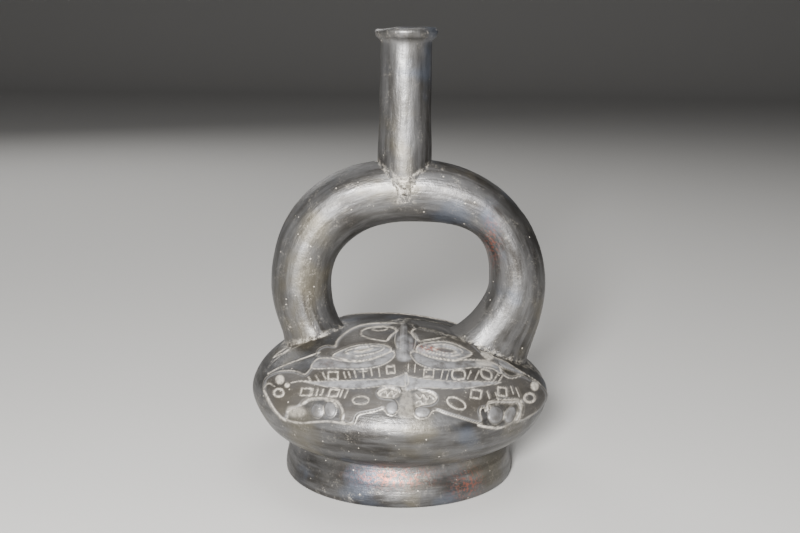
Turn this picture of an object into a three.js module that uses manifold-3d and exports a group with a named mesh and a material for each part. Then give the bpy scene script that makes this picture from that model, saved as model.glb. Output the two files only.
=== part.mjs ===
// Stirrup spout bottle: a hollow lentil-shaped body on a low foot, an arched tube handle
// rising from its shoulders, and one spout with a rolled lip on top of the arch.
// The whole bottle is one fired-clay piece. Millimetres, +Z up, front towards -Y.
import * as THREE from 'three';
import { ParametricGeometry } from 'three/addons/geometries/ParametricGeometry.js';
import { mergeGeometries, mergeVertices } from 'three/addons/utils/BufferGeometryUtils.js';
import Module from 'manifold-3d';

const wasm = await Module();
wasm.setup();

// Body and foot
const bottleHeight = 235;
const bodyRadius = 80;
const equatorHeight = 46.8;
const domeHeight = 82.6;
const domeFullness = 1.55;
const domeLean = 0.057;
const undersideFullness = 1.8;
const neckRadius = 57.6;
const neckHeight = 22;
const footRadius = 61.2;
const footWaistRadius = 60;
const footWaistHeight = 11;
const footEdgeRadius = 1.6;
const recessRadius = 46;
const recessDepth = 3;
const bodyWall = 6;
const floorThickness = 7;

// Arched tube in the XZ plane, between an outer and an inner contour. Each contour is a rounded
// arch above its widest level; below that its legs lean in by so much over legDrop of height.
const outerArch = {
  middleX: 3.8, halfSpan: 72.8, widestZ: 100, topZ: 168,
  left: { fullness: 2.24, lean: 8.6 },
  right: { fullness: 2.06, lean: 6 },
};
const innerArch = {
  middleX: 4.7, halfSpan: 41.8, widestZ: 103, topZ: 134.7,
  left: { fullness: 2.1, lean: 6.5 },
  right: { fullness: 3.2, lean: 22 },
};
const legDrop = 30;
const legLeanPower = 1.7;
const legEndZ = 54;
const tubeHalfDepth = 15;
const tubeWall = 4.5;

// Spout and its rolled lip
const spoutX = 1.1;
const spoutRadius = 13.3;
const spoutFlare = 0.8;
const spoutFlareHeight = 25;
const lipRadius = 16.1;
const lipHeight = 8.5;
const lipCrown = 2.5;
const spoutWall = 4;

// Low relief of the masked face on the front of the dome
const reliefHeight = 1.4;
const reliefEdge = 1.6;
const reliefFade = 4;
const reliefTilt = THREE.MathUtils.degToRad(18);
const maskCentreX = 2;

// Fineness
const frontSegments = 60;
const backSegments = 20;
const domeSteps = 21;
const undersideSteps = 8;
const chamberSegments = 28;
const chamberSteps = 6;
const archSteps = 30;
const legShare = 0.2;

// The relief is laid out as it reads from in front and a little above: u runs across from the
// middle of the face, w runs up. Each form is a rounded band along a line of a few corners.
const halfFace = [
  { name: 'eye', line: [[11, 59.3], [28, 59.3]], halfWidth: 4 },
  { name: 'brow lobe', line: [[10, 70], [21, 70.5]], halfWidth: 3.2 },
  { name: 'lower lid', line: [[5, 56], [12, 52.4], [24, 51.4], [36, 52], [47, 52]], halfWidth: 1.8 },
  { name: 'lip ridge', line: [[0, 43.6], [20, 42.6], [38, 42.2], [50, 44]], halfWidth: 2 },
  { name: 'jaw', line: [[7, 30.5], [14, 33], [26, 30.5], [37, 27.5]], halfWidth: 4 },
  { name: 'paw', line: [[42, 30], [42, 35], [57, 35], [58, 30]], halfWidth: 2.6 },
  { name: 'temple band', line: [[36, 62], [48, 58.5], [58, 52], [64, 46]], halfWidth: 3 },
];
const noseRidge = { name: 'nose', line: [[0, 72], [0, 57]], halfWidth: 3.4 };
const backForms = [
  { name: 'back band', line: [[-46, 47], [0, 52], [46, 47]], halfWidth: 2.4 },
  { name: 'back lobe', line: [[-20, 62], [20, 62]], halfWidth: 5 },
];

function distanceToLine(u, w, line) {
  let nearest = Infinity;
  for (let i = 1; i < line.length; i += 1) {
    const [u0, w0] = line[i - 1];
    const [u1, w1] = line[i];
    const du = u1 - u0;
    const dw = w1 - w0;
    const along = THREE.MathUtils.clamp(((u - u0) * du + (w - w0) * dw) / (du * du + dw * dw), 0, 1);
    nearest = Math.min(nearest, Math.hypot(u - u0 - along * du, w - w0 - along * dw));
  }
  return nearest;
}

function raisedBy(form, u, w) {
  const outside = distanceToLine(u, w, form.line) - form.halfWidth;
  return reliefHeight * (1 - THREE.MathUtils.smoothstep(outside, -reliefEdge, reliefEdge));
}

// Height of the relief above the plain dome at a point of the dome
function relief(x, y, z) {
  const isFront = y < 0;
  const u = x - maskCentreX;
  const w = -Math.abs(y) * Math.sin(reliefTilt) + z * Math.cos(reliefTilt);
  const heights = isFront
    ? [...halfFace.map((form) => raisedBy(form, Math.abs(u), w)), raisedBy(noseRidge, u, w)]
    : backForms.map((form) => raisedBy(form, u, w));
  const fromSeam = THREE.MathUtils.smoothstep(Math.abs(y), 0, reliefFade);
  const fromEquator = THREE.MathUtils.smoothstep(z, equatorHeight, equatorHeight + reliefFade);
  return fromSeam * fromEquator * Math.max(...heights);
}

// Dome: a power curve from its edge up to the crown, fuller or flatter by its exponent
function domeCurve(radius, crownHeight, steps) {
  const power = 2 / domeFullness;
  const points = [];
  for (let i = 0; i < steps; i += 1) {
    const angle = (i / steps) * Math.PI / 2;
    points.push([
      radius * Math.cos(angle) ** power,
      equatorHeight + (crownHeight - equatorHeight) * Math.sin(angle) ** power,
    ]);
  }
  points.push([0, crownHeight]);
  return points;
}

// Underside: a power curve from the neck of the foot out to the equator
function undersideCurve(innerRadius, outerRadius, lowHeight, steps) {
  const power = 2 / undersideFullness;
  const points = [];
  for (let i = 0; i < steps; i += 1) {
    const angle = (i / steps) * Math.PI / 2;
    points.push([
      innerRadius + (outerRadius - innerRadius) * Math.sin(angle) ** power,
      equatorHeight - (equatorHeight - lowHeight) * Math.cos(angle) ** power,
    ]);
  }
  return points;
}

// Outer profile of body and foot, from the middle of the underside out and up to the crown
function bodyProfile() {
  const points = [[0, recessDepth], [recessRadius - 1, recessDepth], [recessRadius, 0]];
  const footBottomRadius = footRadius - footEdgeRadius;
  const edgeSteps = 3;
  for (let i = 0; i <= edgeSteps; i += 1) {
    const angle = (i / edgeSteps) * Math.PI / 2;
    points.push([
      footBottomRadius + footEdgeRadius * Math.sin(angle),
      footEdgeRadius * (1 - Math.cos(angle)),
    ]);
  }
  points.push([footWaistRadius, footWaistHeight]);
  points.push([(footWaistRadius + neckRadius) / 2, (footWaistHeight + neckHeight) / 2]);
  points.push(...undersideCurve(neckRadius, bodyRadius, neckHeight, undersideSteps));
  points.push(...domeCurve(bodyRadius, domeHeight, domeSteps));
  return points.map(([r, z]) => new THREE.Vector2(r, z));
}

// Inner profile of the chamber: the outer wall moved in by the wall thickness, above a flat floor
function chamberProfile() {
  const floorHeight = recessDepth + floorThickness;
  const innerNeck = neckRadius - bodyWall;
  const innerBody = bodyRadius - bodyWall;
  const points = [[0, floorHeight], [innerNeck - 4, floorHeight], [innerNeck, floorHeight + 4]];
  points.push(...undersideCurve(innerNeck, innerBody, neckHeight + 2, chamberSteps));
  points.push(...domeCurve(innerBody, domeHeight - bodyWall, chamberSteps));
  return points.map(([r, z]) => new THREE.Vector2(r, z));
}

// Spout outside: straight tube, flared where it joins the arch, rolled lip at the mouth
function spoutProfile(bottom) {
  const lipBottom = bottleHeight - lipHeight;
  const points = [[0, bottom], [spoutRadius + spoutFlare, bottom]];
  points.push([spoutRadius + spoutFlare, outerArch.topZ]);
  points.push([spoutRadius, outerArch.topZ + spoutFlareHeight]);
  points.push([spoutRadius - 0.3, lipBottom]);
  points.push([lipRadius - 0.8, lipBottom + 1.8]);
  const crownSteps = 4;
  for (let i = 0; i <= crownSteps; i += 1) {
    const angle = (i / crownSteps) * Math.PI / 2;
    points.push([
      lipRadius - lipCrown * (1 - Math.cos(angle)),
      bottleHeight - lipCrown * (1 - Math.sin(angle)),
    ]);
  }
  points.push([0, bottleHeight]);
  return points.map(([r, z]) => new THREE.Vector2(r, z));
}

// Spout bore: straight down into the arch's bore, eased open at the mouth
function spoutBoreProfile(bottom) {
  const bore = spoutRadius - spoutWall;
  return [
    [0, bottom], [bore, bottom], [bore, bottleHeight - 5],
    [bore + 0.8, bottleHeight - 1.5], [bore + 2.2, bottleHeight],
    [bore + 2.2, bottleHeight + 2], [0, bottleHeight + 2],
  ].map(([r, z]) => new THREE.Vector2(r, z));
}

// A point of a contour: share runs from the foot of the right leg over the top to the left foot
function contourPoint(contour, share) {
  const side = share < 0.5 ? 1 : -1;
  const half = side > 0 ? contour.right : contour.left;
  const fromFoot = share < 0.5 ? share : 1 - share;
  if (fromFoot < legShare) {
    const z = THREE.MathUtils.lerp(legEndZ, contour.widestZ, fromFoot / legShare);
    const lean = half.lean * ((contour.widestZ - z) / legDrop) ** legLeanPower;
    return new THREE.Vector2(contour.middleX + side * (contour.halfSpan - lean), z);
  }
  const angle = ((fromFoot - legShare) / (0.5 - legShare)) * Math.PI / 2;
  const power = 2 / half.fullness;
  const rise = contour.topZ - contour.widestZ;
  return new THREE.Vector2(
    contour.middleX + side * contour.halfSpan * Math.max(Math.cos(angle), 0) ** power,
    contour.widestZ + rise * Math.sin(angle) ** power,
  );
}

// Oval tube between the two contours, moved in by inset, its ends drawn in to a point
function archTube(inset, sides) {
  const place = (around, along, target) => {
    const step = THREE.MathUtils.clamp(Math.round(along * (archSteps + 2)) - 1, 0, archSteps);
    const atEnd = along < 1e-6 || along > 1 - 1e-6;
    const outer = contourPoint(outerArch, step / archSteps);
    const inner = contourPoint(innerArch, step / archSteps);
    const middle = outer.clone().add(inner).multiplyScalar(0.5);
    const half = outer.clone().sub(inner).multiplyScalar(0.5);
    half.setLength(atEnd ? 0 : half.length() - inset);
    const depth = atEnd ? 0 : tubeHalfDepth - inset;
    const angle = around * Math.PI * 2;
    target.set(
      middle.x + half.x * Math.cos(angle),
      depth * Math.sin(angle),
      middle.y + half.y * Math.cos(angle),
    );
  };
  return new ParametricGeometry(place, sides, archSteps + 2);
}

function turned(profile, segments) {
  return new THREE.LatheGeometry(profile, segments).rotateX(Math.PI / 2);
}

// The body has finer steps round its carved front than round its back
function turnedBody(profile) {
  const front = new THREE.LatheGeometry(profile, frontSegments, -Math.PI / 2, Math.PI);
  const back = new THREE.LatheGeometry(profile, backSegments, Math.PI / 2, Math.PI);
  return mergeGeometries([front, back]).rotateX(Math.PI / 2);
}

// Raises each point above the equator by a height worked out from its place
function raised(geometry, heightAt) {
  const place = geometry.attributes.position;
  for (let i = 0; i < place.count; i += 1) {
    const x = place.getX(i);
    const y = place.getY(i);
    const z = place.getZ(i);
    if (z > equatorHeight) place.setZ(i, z + heightAt(x, y, z));
  }
  return geometry;
}

// The dome sags a little towards the right
function sag(x, y, z) {
  return -domeLean * x * THREE.MathUtils.smoothstep(z, equatorHeight, domeHeight);
}

function carving(x, y, z) {
  return relief(x, y, z) + sag(x, y, z);
}

function solid(geometry) {
  geometry.deleteAttribute('normal');
  geometry.deleteAttribute('uv');
  const merged = mergeVertices(geometry, 1e-3);
  const triVerts = new Uint32Array(merged.index.array);
  const vertProperties = new Float32Array(merged.attributes.position.array);
  const kept = [];
  for (let i = 0; i < triVerts.length; i += 3) {
    const [a, b, c] = triVerts.slice(i, i + 3);
    if (a !== b && b !== c && c !== a) kept.push(a, b, c);
  }
  const mesh = new wasm.Mesh({ numProp: 3, vertProperties, triVerts: new Uint32Array(kept) });
  return new wasm.Manifold(mesh);
}

function geometryOf(manifold) {
  const { vertProperties, triVerts } = manifold.getMesh();
  const geometry = new THREE.BufferGeometry();
  geometry.setAttribute('position', new THREE.BufferAttribute(vertProperties, 3));
  geometry.setIndex(new THREE.BufferAttribute(triVerts, 1));
  geometry.computeVertexNormals();
  return geometry;
}

function vesselGeometry() {
  const archMiddleZ = (outerArch.topZ + innerArch.topZ) / 2;
  const body = solid(raised(turnedBody(bodyProfile()), carving));
  const arch = solid(archTube(0, 18));
  const spout = solid(turned(spoutProfile(archMiddleZ), 24).translate(spoutX, 0, 0));
  const chamber = solid(raised(turned(chamberProfile(), chamberSegments), sag));
  const archBore = solid(archTube(tubeWall, 12));
  const spoutBore = solid(turned(spoutBoreProfile(archMiddleZ), 16).translate(spoutX, 0, 0));
  const outside = body.add(arch).add(spout);
  const inside = chamber.add(archBore).add(spoutBore);
  return geometryOf(outside.subtract(inside));
}

const burnishedClay = new THREE.MeshStandardMaterial({
  color: new THREE.Color(0.16, 0.155, 0.15),
  roughness: 0.38,
  metalness: 0,
});

const vessel = new THREE.Mesh(vesselGeometry(), burnishedClay);
vessel.name = 'vessel';

const bottle = new THREE.Group();
bottle.add(vessel);
export default bottle;
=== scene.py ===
# Stirrup spout bottle in burnished blackware: one clay piece, made as parametric surfaces.
# Shapes are worked out in millimetres, +Z up, front towards -Y, and written to the mesh in metres.
import math
import bpy
import numpy as np
from mathutils import Matrix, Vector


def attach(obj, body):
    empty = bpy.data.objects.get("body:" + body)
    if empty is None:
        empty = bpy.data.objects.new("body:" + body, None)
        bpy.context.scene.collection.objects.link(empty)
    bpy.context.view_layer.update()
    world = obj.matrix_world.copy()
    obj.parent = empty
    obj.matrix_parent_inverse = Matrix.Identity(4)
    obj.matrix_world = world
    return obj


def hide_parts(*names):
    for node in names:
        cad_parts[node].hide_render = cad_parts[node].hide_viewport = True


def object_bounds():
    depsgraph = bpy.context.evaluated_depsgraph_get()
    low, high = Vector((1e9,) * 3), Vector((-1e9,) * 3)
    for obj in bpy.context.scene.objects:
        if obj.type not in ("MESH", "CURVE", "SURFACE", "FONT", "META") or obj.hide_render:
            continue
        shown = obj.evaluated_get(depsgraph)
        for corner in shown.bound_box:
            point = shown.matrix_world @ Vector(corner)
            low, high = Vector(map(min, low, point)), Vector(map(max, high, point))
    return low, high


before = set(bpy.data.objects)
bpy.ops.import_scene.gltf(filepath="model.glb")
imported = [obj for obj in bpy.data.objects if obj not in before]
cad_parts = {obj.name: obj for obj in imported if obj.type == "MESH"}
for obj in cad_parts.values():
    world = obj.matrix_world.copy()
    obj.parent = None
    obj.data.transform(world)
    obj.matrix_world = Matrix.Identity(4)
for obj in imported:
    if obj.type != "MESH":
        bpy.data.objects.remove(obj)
cadLow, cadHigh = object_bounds()
mm = 0.001
print("frame loaded")


def ease(low, high, x):
    # smooth step: 0 below low, 1 above high, 3t^2 - 2t^3 between
    t = np.clip((x - low) / (high - low), 0.0, 1.0)
    return t * t * (3 - 2 * t)


def mix(a, b, t):
    return a + (b - a) * t


def clayNoise(points, cell, seed):
    # value noise: random numbers on a cubic lattice of the given cell, eased between corners, -1 to 1
    p = points / cell + seed * 17.3
    base = np.floor(p).astype(np.int64)
    f = p - base
    f = f * f * (3 - 2 * f)
    total = np.zeros(len(points))
    for corner in range(8):
        d = np.array([corner & 1, corner >> 1 & 1, corner >> 2 & 1])
        n = (base + d) @ np.array([73856093, 19349663, 83492791]) + seed * 2654435761
        n = (n ^ (n >> 13)) * 1274126177 & 0x7FFFFFFF
        value = ((n ^ (n >> 16)) & 0xFFFF) / 32767.5 - 1
        weight = np.prod(np.where(d == 1, f, 1 - f), axis=1)
        total += value * weight
    return total


def gridNormals(grid):
    # unit normals of a grid of points (along, around, xyz) that closes on itself around
    along = np.gradient(grid, axis=0)
    around = np.roll(grid, -1, axis=1) - np.roll(grid, 1, axis=1)
    n = np.cross(around, along)
    return n / np.maximum(np.linalg.norm(n, axis=2, keepdims=True), 1e-9)


# Drawn in mm across from the nose line and up from the mouth line, as it reads from in front and above.
carving = {
    "halfWidth": 84.0,
    "below": 36.0,
    "above": 40.0,
    "cell": 0.16,
    "eyePoint": (0.0, -600.0, 237.7),
    "eyePitch": math.radians(12.0),
    "readingDistance": 600.0,
    "noseAcross": 2.3,
    "mouthUp": -60.3,
    "plateau": 0.95,
    "plateauEdge": 0.4,
    "lineWidth": 0.74,
    "lineDepth": 0.45,
}


class Panel:
    # a flat drawing: relief height in mm, a mask for pale dust, and a mask of painted highlight where the
    # burnish shows a silvery sheen
    def __init__(self):
        cell = carving["cell"]
        self.left = -carving["halfWidth"]
        self.bottom = -carving["below"]
        columns = int(2 * carving["halfWidth"] / cell)
        rows = int((carving["below"] + carving["above"]) / cell)
        self.across = self.left + cell * np.arange(columns)[None, :]
        self.up = self.bottom + cell * np.arange(rows)[:, None]
        self.relief = np.zeros((rows, columns))
        self.pale = np.zeros((rows, columns))
        # painted highlight: how much silvery sheen is painted into the colour at each cell
        self.paintedSheen = np.zeros((rows, columns))

    def window(self, line, margin):
        cell = carving["cell"]
        low = np.floor((line.min(0) - margin - [self.left, self.bottom]) / cell).astype(int)
        high = np.ceil((line.max(0) + margin - [self.left, self.bottom]) / cell).astype(int)
        low = np.maximum(low, 0)
        return slice(low[1], max(high[1], 0)), slice(low[0], max(high[0], 0))

    def distance(self, line, closed, margin):
        # distance of every cell of a window to a line of short segments, negative inside a closed one
        win = self.window(line, margin)
        a = self.across[:, win[1]]
        b = self.up[win[0], :]
        nearest = np.full((b.shape[0], a.shape[1]), 1e9)
        inside = np.zeros(nearest.shape, bool)
        ends = np.vstack([line[1:], line[:1]]) if closed else line[1:]
        for (a0, b0), (a1, b1) in zip(line, ends):
            da, db = a1 - a0, b1 - b0
            t = np.clip(((a - a0) * da + (b - b0) * db) / max(da * da + db * db, 1e-9), 0, 1)
            nearest = np.minimum(nearest, (a - a0 - t * da) ** 2 + (b - b0 - t * db) ** 2)
            if closed and b0 != b1:
                crosses = (b0 > b) != (b1 > b)
                inside ^= crosses & (a < a0 + (b - b0) * da / db)
        nearest = np.sqrt(nearest)
        return win, np.where(inside, -nearest, nearest) if closed else nearest

    def shape(self, points, height=None, edge=0.5, pale=None, paintedSheen=None, dome=0.0, sharp=False):
        # levels the inside of a closed outline to a height, with a dome towards its middle
        line = np.array(points, float) if sharp else roundLine(points, True)
        win, d = self.distance(line, True, edge + 0.4)
        inside = 1 - ease(-edge, edge, d)
        if height is not None:
            self.relief[win] = mix(self.relief[win], height, inside)
        if dome:
            self.relief[win] += dome * inside * (1 - np.exp(d / 2.2)) * (d < 0)
        if pale is not None:
            self.pale[win] = mix(self.pale[win], pale, inside)
        # painted highlight: sets the painted sheen inside the outline
        if paintedSheen is not None:
            self.paintedSheen[win] = mix(self.paintedSheen[win], paintedSheen, inside)

    def cut(self, points, width=1.0, depth=1.0, closed=False, pale=0.95, sharp=False):
        # an incised line, a rounded groove with dust in it; width and depth scale the usual ones
        line = np.array(points, float) if sharp else roundLine(points, closed)
        half = carving["lineWidth"] * width / 2
        win, d = self.distance(line, closed, half + 0.6)
        d = np.abs(d)
        groove = 1 - ease(half * 0.1, half * 1.1, d)
        self.relief[win] -= carving["lineDepth"] * depth * groove
        dust = 1 - ease(half * 0.3, half * 1.05, d)
        self.pale[win] = np.maximum(self.pale[win], pale * dust)

    def ridge(self, points, width, height, closed=False, pale=0.0):
        # a raised rounded line
        line = roundLine(points, closed)
        win, d = self.distance(line, closed, width)
        bead = 1 - ease(width * 0.1, width * 0.6, np.abs(d))
        self.relief[win] += height * bead
        self.pale[win] = np.maximum(self.pale[win], pale * bead)

    def sample(self, layer, a, b):
        # the layer's value at drawn places, taken in between the four nearest cells
        cell = carving["cell"]
        x = np.clip((a - self.left) / cell, 0, layer.shape[1] - 1.001)
        y = np.clip((b - self.bottom) / cell, 0, layer.shape[0] - 1.001)
        i, j = x.astype(int), y.astype(int)
        fx, fy = x - i, y - j
        low = mix(layer[j, i], layer[j, i + 1], fx)
        high = mix(layer[j + 1, i], layer[j + 1, i + 1], fx)
        return mix(low, high, fy)


def roundLine(points, closed=False, steps=6):
    # a smooth line through the points: between two points, a cubic led by their neighbours
    p = np.array(points, float)
    if closed:
        p = np.vstack([p[-1:], p, p[:2]])
    else:
        p = np.vstack([2 * p[:1] - p[1:2], p, 2 * p[-1:] - p[-2:-1]])
    p0, p1, p2, p3 = p[:-3, None], p[1:-2, None], p[2:-1, None], p[3:, None]
    t = (np.arange(steps) / steps)[None, :, None]
    q = 0.5 * (2 * p1 + (p2 - p0) * t + (2 * p0 - 5 * p1 + 4 * p2 - p3) * t**2
               + (3 * p1 - p0 - 3 * p2 + p3) * t**3)
    q = q.reshape(-1, 2)
    return q if closed else np.vstack([q, p[-2:-1]])


def ovalLine(a, b, halfLong, halfShort, turn=0.0, steps=28):
    # an ellipse about (a, b), turned by so many degrees
    t = np.linspace(0, 2 * np.pi, steps, endpoint=False)
    c, s = np.cos(np.radians(turn)), np.sin(np.radians(turn))
    x, y = halfLong * np.cos(t), halfShort * np.sin(t)
    return np.stack([a + x * c - y * s, b + x * s + y * c], 1)


def boxLine(a, b, halfLong, halfShort, turn=0.0, lean=0.0):
    # a four-cornered outline about (a, b), its top leaned over by lean
    c, s = np.cos(np.radians(turn)), np.sin(np.radians(turn))
    corners = np.array([(-1, -1), (1, -1), (1, 1), (-1, 1)], float)
    x = corners[:, 0] * halfLong + corners[:, 1] * lean
    y = corners[:, 1] * halfShort
    return np.stack([a + x * c - y * s, b + x * s + y * c], 1)


def blur(layer, radius):
    # average over a square window, twice, so nearly a bell curve
    n = max(int(radius / carving["cell"]), 1)
    for _ in range(2):
        for axis in (0, 1):
            pad = [(0, 0), (0, 0)]
            pad[axis] = (n + 1, n)
            sums = np.cumsum(np.pad(layer, pad, mode="edge"), axis=axis)
            width = 2 * n + 1
            if axis == 0:
                layer = (sums[width:] - sums[:-width]) / width
            else:
                layer = (sums[:, width:] - sums[:, :-width]) / width
    return layer


def drawMask():
    # the frontal mask over two animal heads that face each other, as on the front of the dome
    p = Panel()
    top = carving["plateau"]

    # burnished ground of each side: brow, cheek band, and the lower head with its open mouth
    leftGround = [
        (2, 31), (-9, 31.2), (-18.5, 30.6), (-25, 29), (-31, 25.5), (-34.6, 21.8), (-35.8, 18.6), (-40, 19),
        (-44, 17.5), (-45.6, 15), (-44.6, 13), (-47.4, 10.5), (-48.2, 7), (-51.5, 3.6), (-55.2, 5),
        (-60, 5.6), (-65, 5), (-69, 3.6), (-71.6, 1.6), (-72.6, -2), (-70.5, -8.5), (-67.5, -13.5),
        (-64, -17.5), (-61.4, -19.2), (-60.2, -16.6), (-59.6, -14.4), (-54.4, -12.4), (-52.4, -10),
        (-48.6, -7.6), (-43, -7.2), (-37, -8), (-33, -10.4), (-31, -14.4), (-31.6, -19), (-28.8, -20.8),
        (-25.8, -20.4), (-24, -16.6), (-20, -15.2), (-15, -14.2), (-10.6, -13), (-8, -15.6), (-5, -15.8),
        (-3, -12.6), (-4.6, -9), (-8, -7.8), (-12.8, -7), (-14, -5), (-12, -3), (-8, -2), (2, -2),
    ]
    rightGround = [
        (-2, 31), (9.5, 30.8), (17, 29.8), (22.5, 28.4), (28.5, 25.5), (32.5, 23), (36.5, 19.5),
        (40, 16.5), (45, 14.6), (48.4, 11), (51, 6.8), (55, 4.2), (60.5, 4.8), (65.5, 2.6), (70.5, 0),
        (74, -5), (72, -11.2), (66, -15.6), (60, -19.4), (61.4, -14), (61.2, -9.6), (58.6, -7.2),
        (48.4, -7.8), (43.4, -8.8), (42.2, -11.4), (39.6, -11.8), (38.8, -14.5), (40.6, -19.2),
        (36.6, -19.2),
        (30.5, -17.4), (22.5, -15.2), (15.6, -13.2), (12, -17), (7.6, -17.4), (5.4, -15), (6.6, -12.4),
        (10, -11.4), (15, -10.4), (17.4, -7.4), (14.2, -4.4), (9, -3.4), (5, -2.4), (-2, -2),
    ]
    for ground in (leftGround, rightGround):
        p.shape(ground, height=top, edge=carving["plateauEdge"])
    # rim that is left standing along the top of the mask
    p.cut([(-35.8, 18.6), (-34.8, 21.8), (-31, 25.6), (-25, 29.1), (-18.5, 30.7), (-9, 31.3), (0, 31.2),
           (9.5, 30.9), (17, 30), (22.5, 28.6)], width=1.1, depth=0.6)
    p.cut([(23.5, 28), (28.5, 25.6), (33, 22.8), (39, 18)], width=0.8, depth=0.5, pale=0.5)

    # lower lids: smooth crescents, a little sunk, with a painted highlight of silvery sheen
    leftLid = [(-44.4, 12.4), (-47, 10.4), (-48, 7.6), (-44, 7.2), (-36.5, 7.6), (-28.5, 7.2), (-21, 7.5),
               (-14, 8.7), (-8.6, 11), (-5.4, 14), (-6, 16.6), (-11, 14.6), (-18, 12), (-24.5, 11),
               (-31.5, 11.4), (-38.6, 12.6)]
    rightLid = [(3, 16), (4.4, 13), (8, 10), (14.5, 8), (22.5, 7.6), (30, 8.4), (36.5, 9), (42, 9),
                (46, 8.2), (50, 6), (48.4, 9.8), (43, 12), (35.5, 12.6), (30, 12.6), (25.5, 12),
                (18.5, 12.8), (12, 14.2), (6.5, 16.4)]
    for lid in (leftLid, rightLid):
        p.shape(lid, height=top - 0.5, edge=0.4, paintedSheen=0.75, dome=0.45)
        p.cut(lid, width=0.8, depth=0.5, closed=True)
    p.shape([(38, 9.6), (44, 9.4), (46, 11), (42, 12.6), (37.6, 12)], pale=0.55, edge=1.2)

    # eyes: a swelling almond with a painted highlight, a second almond line in it, and a slot for the pupil
    leftEye = [(-37, 14), (-32.5, 16.8), (-26, 19.2), (-18.5, 20.2), (-11.5, 20), (-7, 17.8), (-8.5, 15.8),
               (-13.5, 13.8), (-18.5, 12.4), (-24.5, 11.6), (-31.5, 12.4)]
    rightEye = [(6.5, 16.6), (6.8, 19.4), (12, 21.4), (21, 22), (28.5, 19.8), (34.8, 16), (30, 13.6),
                (25.5, 12.6), (18.5, 13.4), (12, 14.8)]
    for eyeball in (leftEye, rightEye):
        p.shape(eyeball, height=top - 0.35, edge=0.35, paintedSheen=0.7, dome=1.3)
        p.cut(eyeball, width=0.9, depth=0.8, closed=True)
    p.cut([(-30.6, 16), (-26, 18), (-21, 19), (-14.5, 19.3), (-10.6, 18.4), (-14.5, 16), (-21, 14.5),
           (-26, 14.1)], width=0.85, depth=0.75, closed=True)
    p.cut([(9.6, 18), (13.5, 20), (19.5, 20.8), (25.5, 19.8), (30, 17), (26, 14.8), (19.5, 15.2),
           (13.5, 16.6)], width=0.85, depth=0.75, closed=True)
    p.shape([(-26.2, 16.3), (-23, 17.4), (-19.5, 18), (-16.4, 18), (-19, 16.8), (-22.5, 16)], height=0.7,
            edge=0.3, paintedSheen=0.0)
    p.cut([(-26.2, 16.3), (-23, 17.4), (-19.5, 18), (-16.4, 18), (-19, 16.8), (-22.5, 16)], width=0.6,
          depth=0.4, closed=True, pale=0.7)
    p.shape([(14.4, 18.4), (19.5, 18.9), (25, 18), (27, 16.6), (24, 15.9), (19, 16.4)], height=0.8,
            edge=0.3, paintedSheen=0.3)
    p.cut([(14.4, 18.4), (19.5, 18.9), (25, 18), (27, 16.6), (24, 15.9), (19, 16.4)], width=0.7,
          depth=0.5, closed=True, pale=0.8)

    # lobes above the eyes, each with a small oval, and the folds from them to the nose
    leftLobe = [(-18.5, 28.6), (-22, 27.2), (-22.4, 25), (-18.5, 23.4), (-13.5, 22.5), (-9, 22.2),
                (-6.8, 25), (-4, 27.4), (-9, 29.4), (-14, 29.4)]
    rightLobe = [(3.4, 26.4), (6, 28.6), (11, 29.6), (17.6, 28.6), (21.6, 27), (22.4, 25.8), (20.5, 24.4),
                 (17, 23.8), (12, 23), (7, 22.4)]
    for lobe in (leftLobe, rightLobe):
        p.shape(lobe, height=top - 0.35, edge=0.3, dome=0.5)
        p.cut(lobe, width=1.0, depth=0.7, closed=True)
    p.cut(ovalLine(-12.8, 28.2, 3.9, 0.9, 4), width=0.8, depth=0.6, closed=True)
    p.cut(ovalLine(11.4, 28.5, 4.1, 0.9, -3), width=0.8, depth=0.6, closed=True)
    p.cut([(-9.4, 21.8), (-7.8, 24.4), (-3.4, 27.6)], width=1.2, depth=1.2, pale=0.5)
    p.cut([(7.4, 21.8), (5.2, 24.8), (1.6, 27)], width=1.2, depth=1.2, pale=0.5)
    p.cut([(-4.8, 25.4), (-5.2, 21.6), (-3.6, 18)], width=1.1, depth=1.0, pale=0.15)
    p.cut([(5, 24.4), (5.4, 21), (4.6, 17.6)], width=1.1, depth=1.0, pale=0.15)
    # nose, with a painted highlight on its bridge
    p.ridge([(0.2, 28.5), (0.2, 22), (0, 14)], width=4.6, height=1.1)
    p.shape([(-3.4, 24), (3.4, 24), (4.4, 15.6), (2.8, 12), (-2.8, 12), (-4.2, 15.6)], paintedSheen=0.7, edge=0.8)

    # cheek band: squares and bars cut into it
    p.cut(boxLine(-7.1, 7, 2.1, 1.7, 6), width=1.25, closed=True, sharp=True)
    p.cut(boxLine(-36.8, 3.7, 2.5, 1.9, 0), width=1.1, closed=True, sharp=True)
    upperBars = [(-13, 5.6, 2), (-17, 5.6, 1.8), (-25.4, 4.5, 1.6), (-28.4, 4.1, 1.5), (-30.8, 4, 1.5),
                 (-41.4, 3.4, 1.6), (-45, 2.1, 1.4), (-48.8, 1.4, 1.4), (2, 8.4, 1.8), (5.4, 7.9, 1.9),
                 (19.4, 4.9, 2.2), (22.4, 4.6, 2.3), (33.6, 4.9, 2), (37.6, 4.8, 2.1), (47.4, 4, 1.9),
                 (50, 3.4, 2)]
    for a, b, half in upperBars:
        lean = 0.012 * a * half
        p.cut([(a - lean, b - half), (a + lean, b + half)], width=0.95, sharp=True)
    p.cut([(-23.4, 6), (-19.2, 6.3)], width=0.9, sharp=True)
    p.cut([(-21.4, 6.1), (-21, 3)], width=0.9, sharp=True)
    p.cut(boxLine(12.6, 5.5, 2.5, 1.9, -4), width=1.1, closed=True, sharp=True)
    p.cut(boxLine(28, 4.9, 2.7, 2, -4), width=1.5, closed=True)
    p.cut(boxLine(42.4, 5.4, 2.3, 1.7, -18, -0.7), width=1.4, closed=True)
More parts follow.
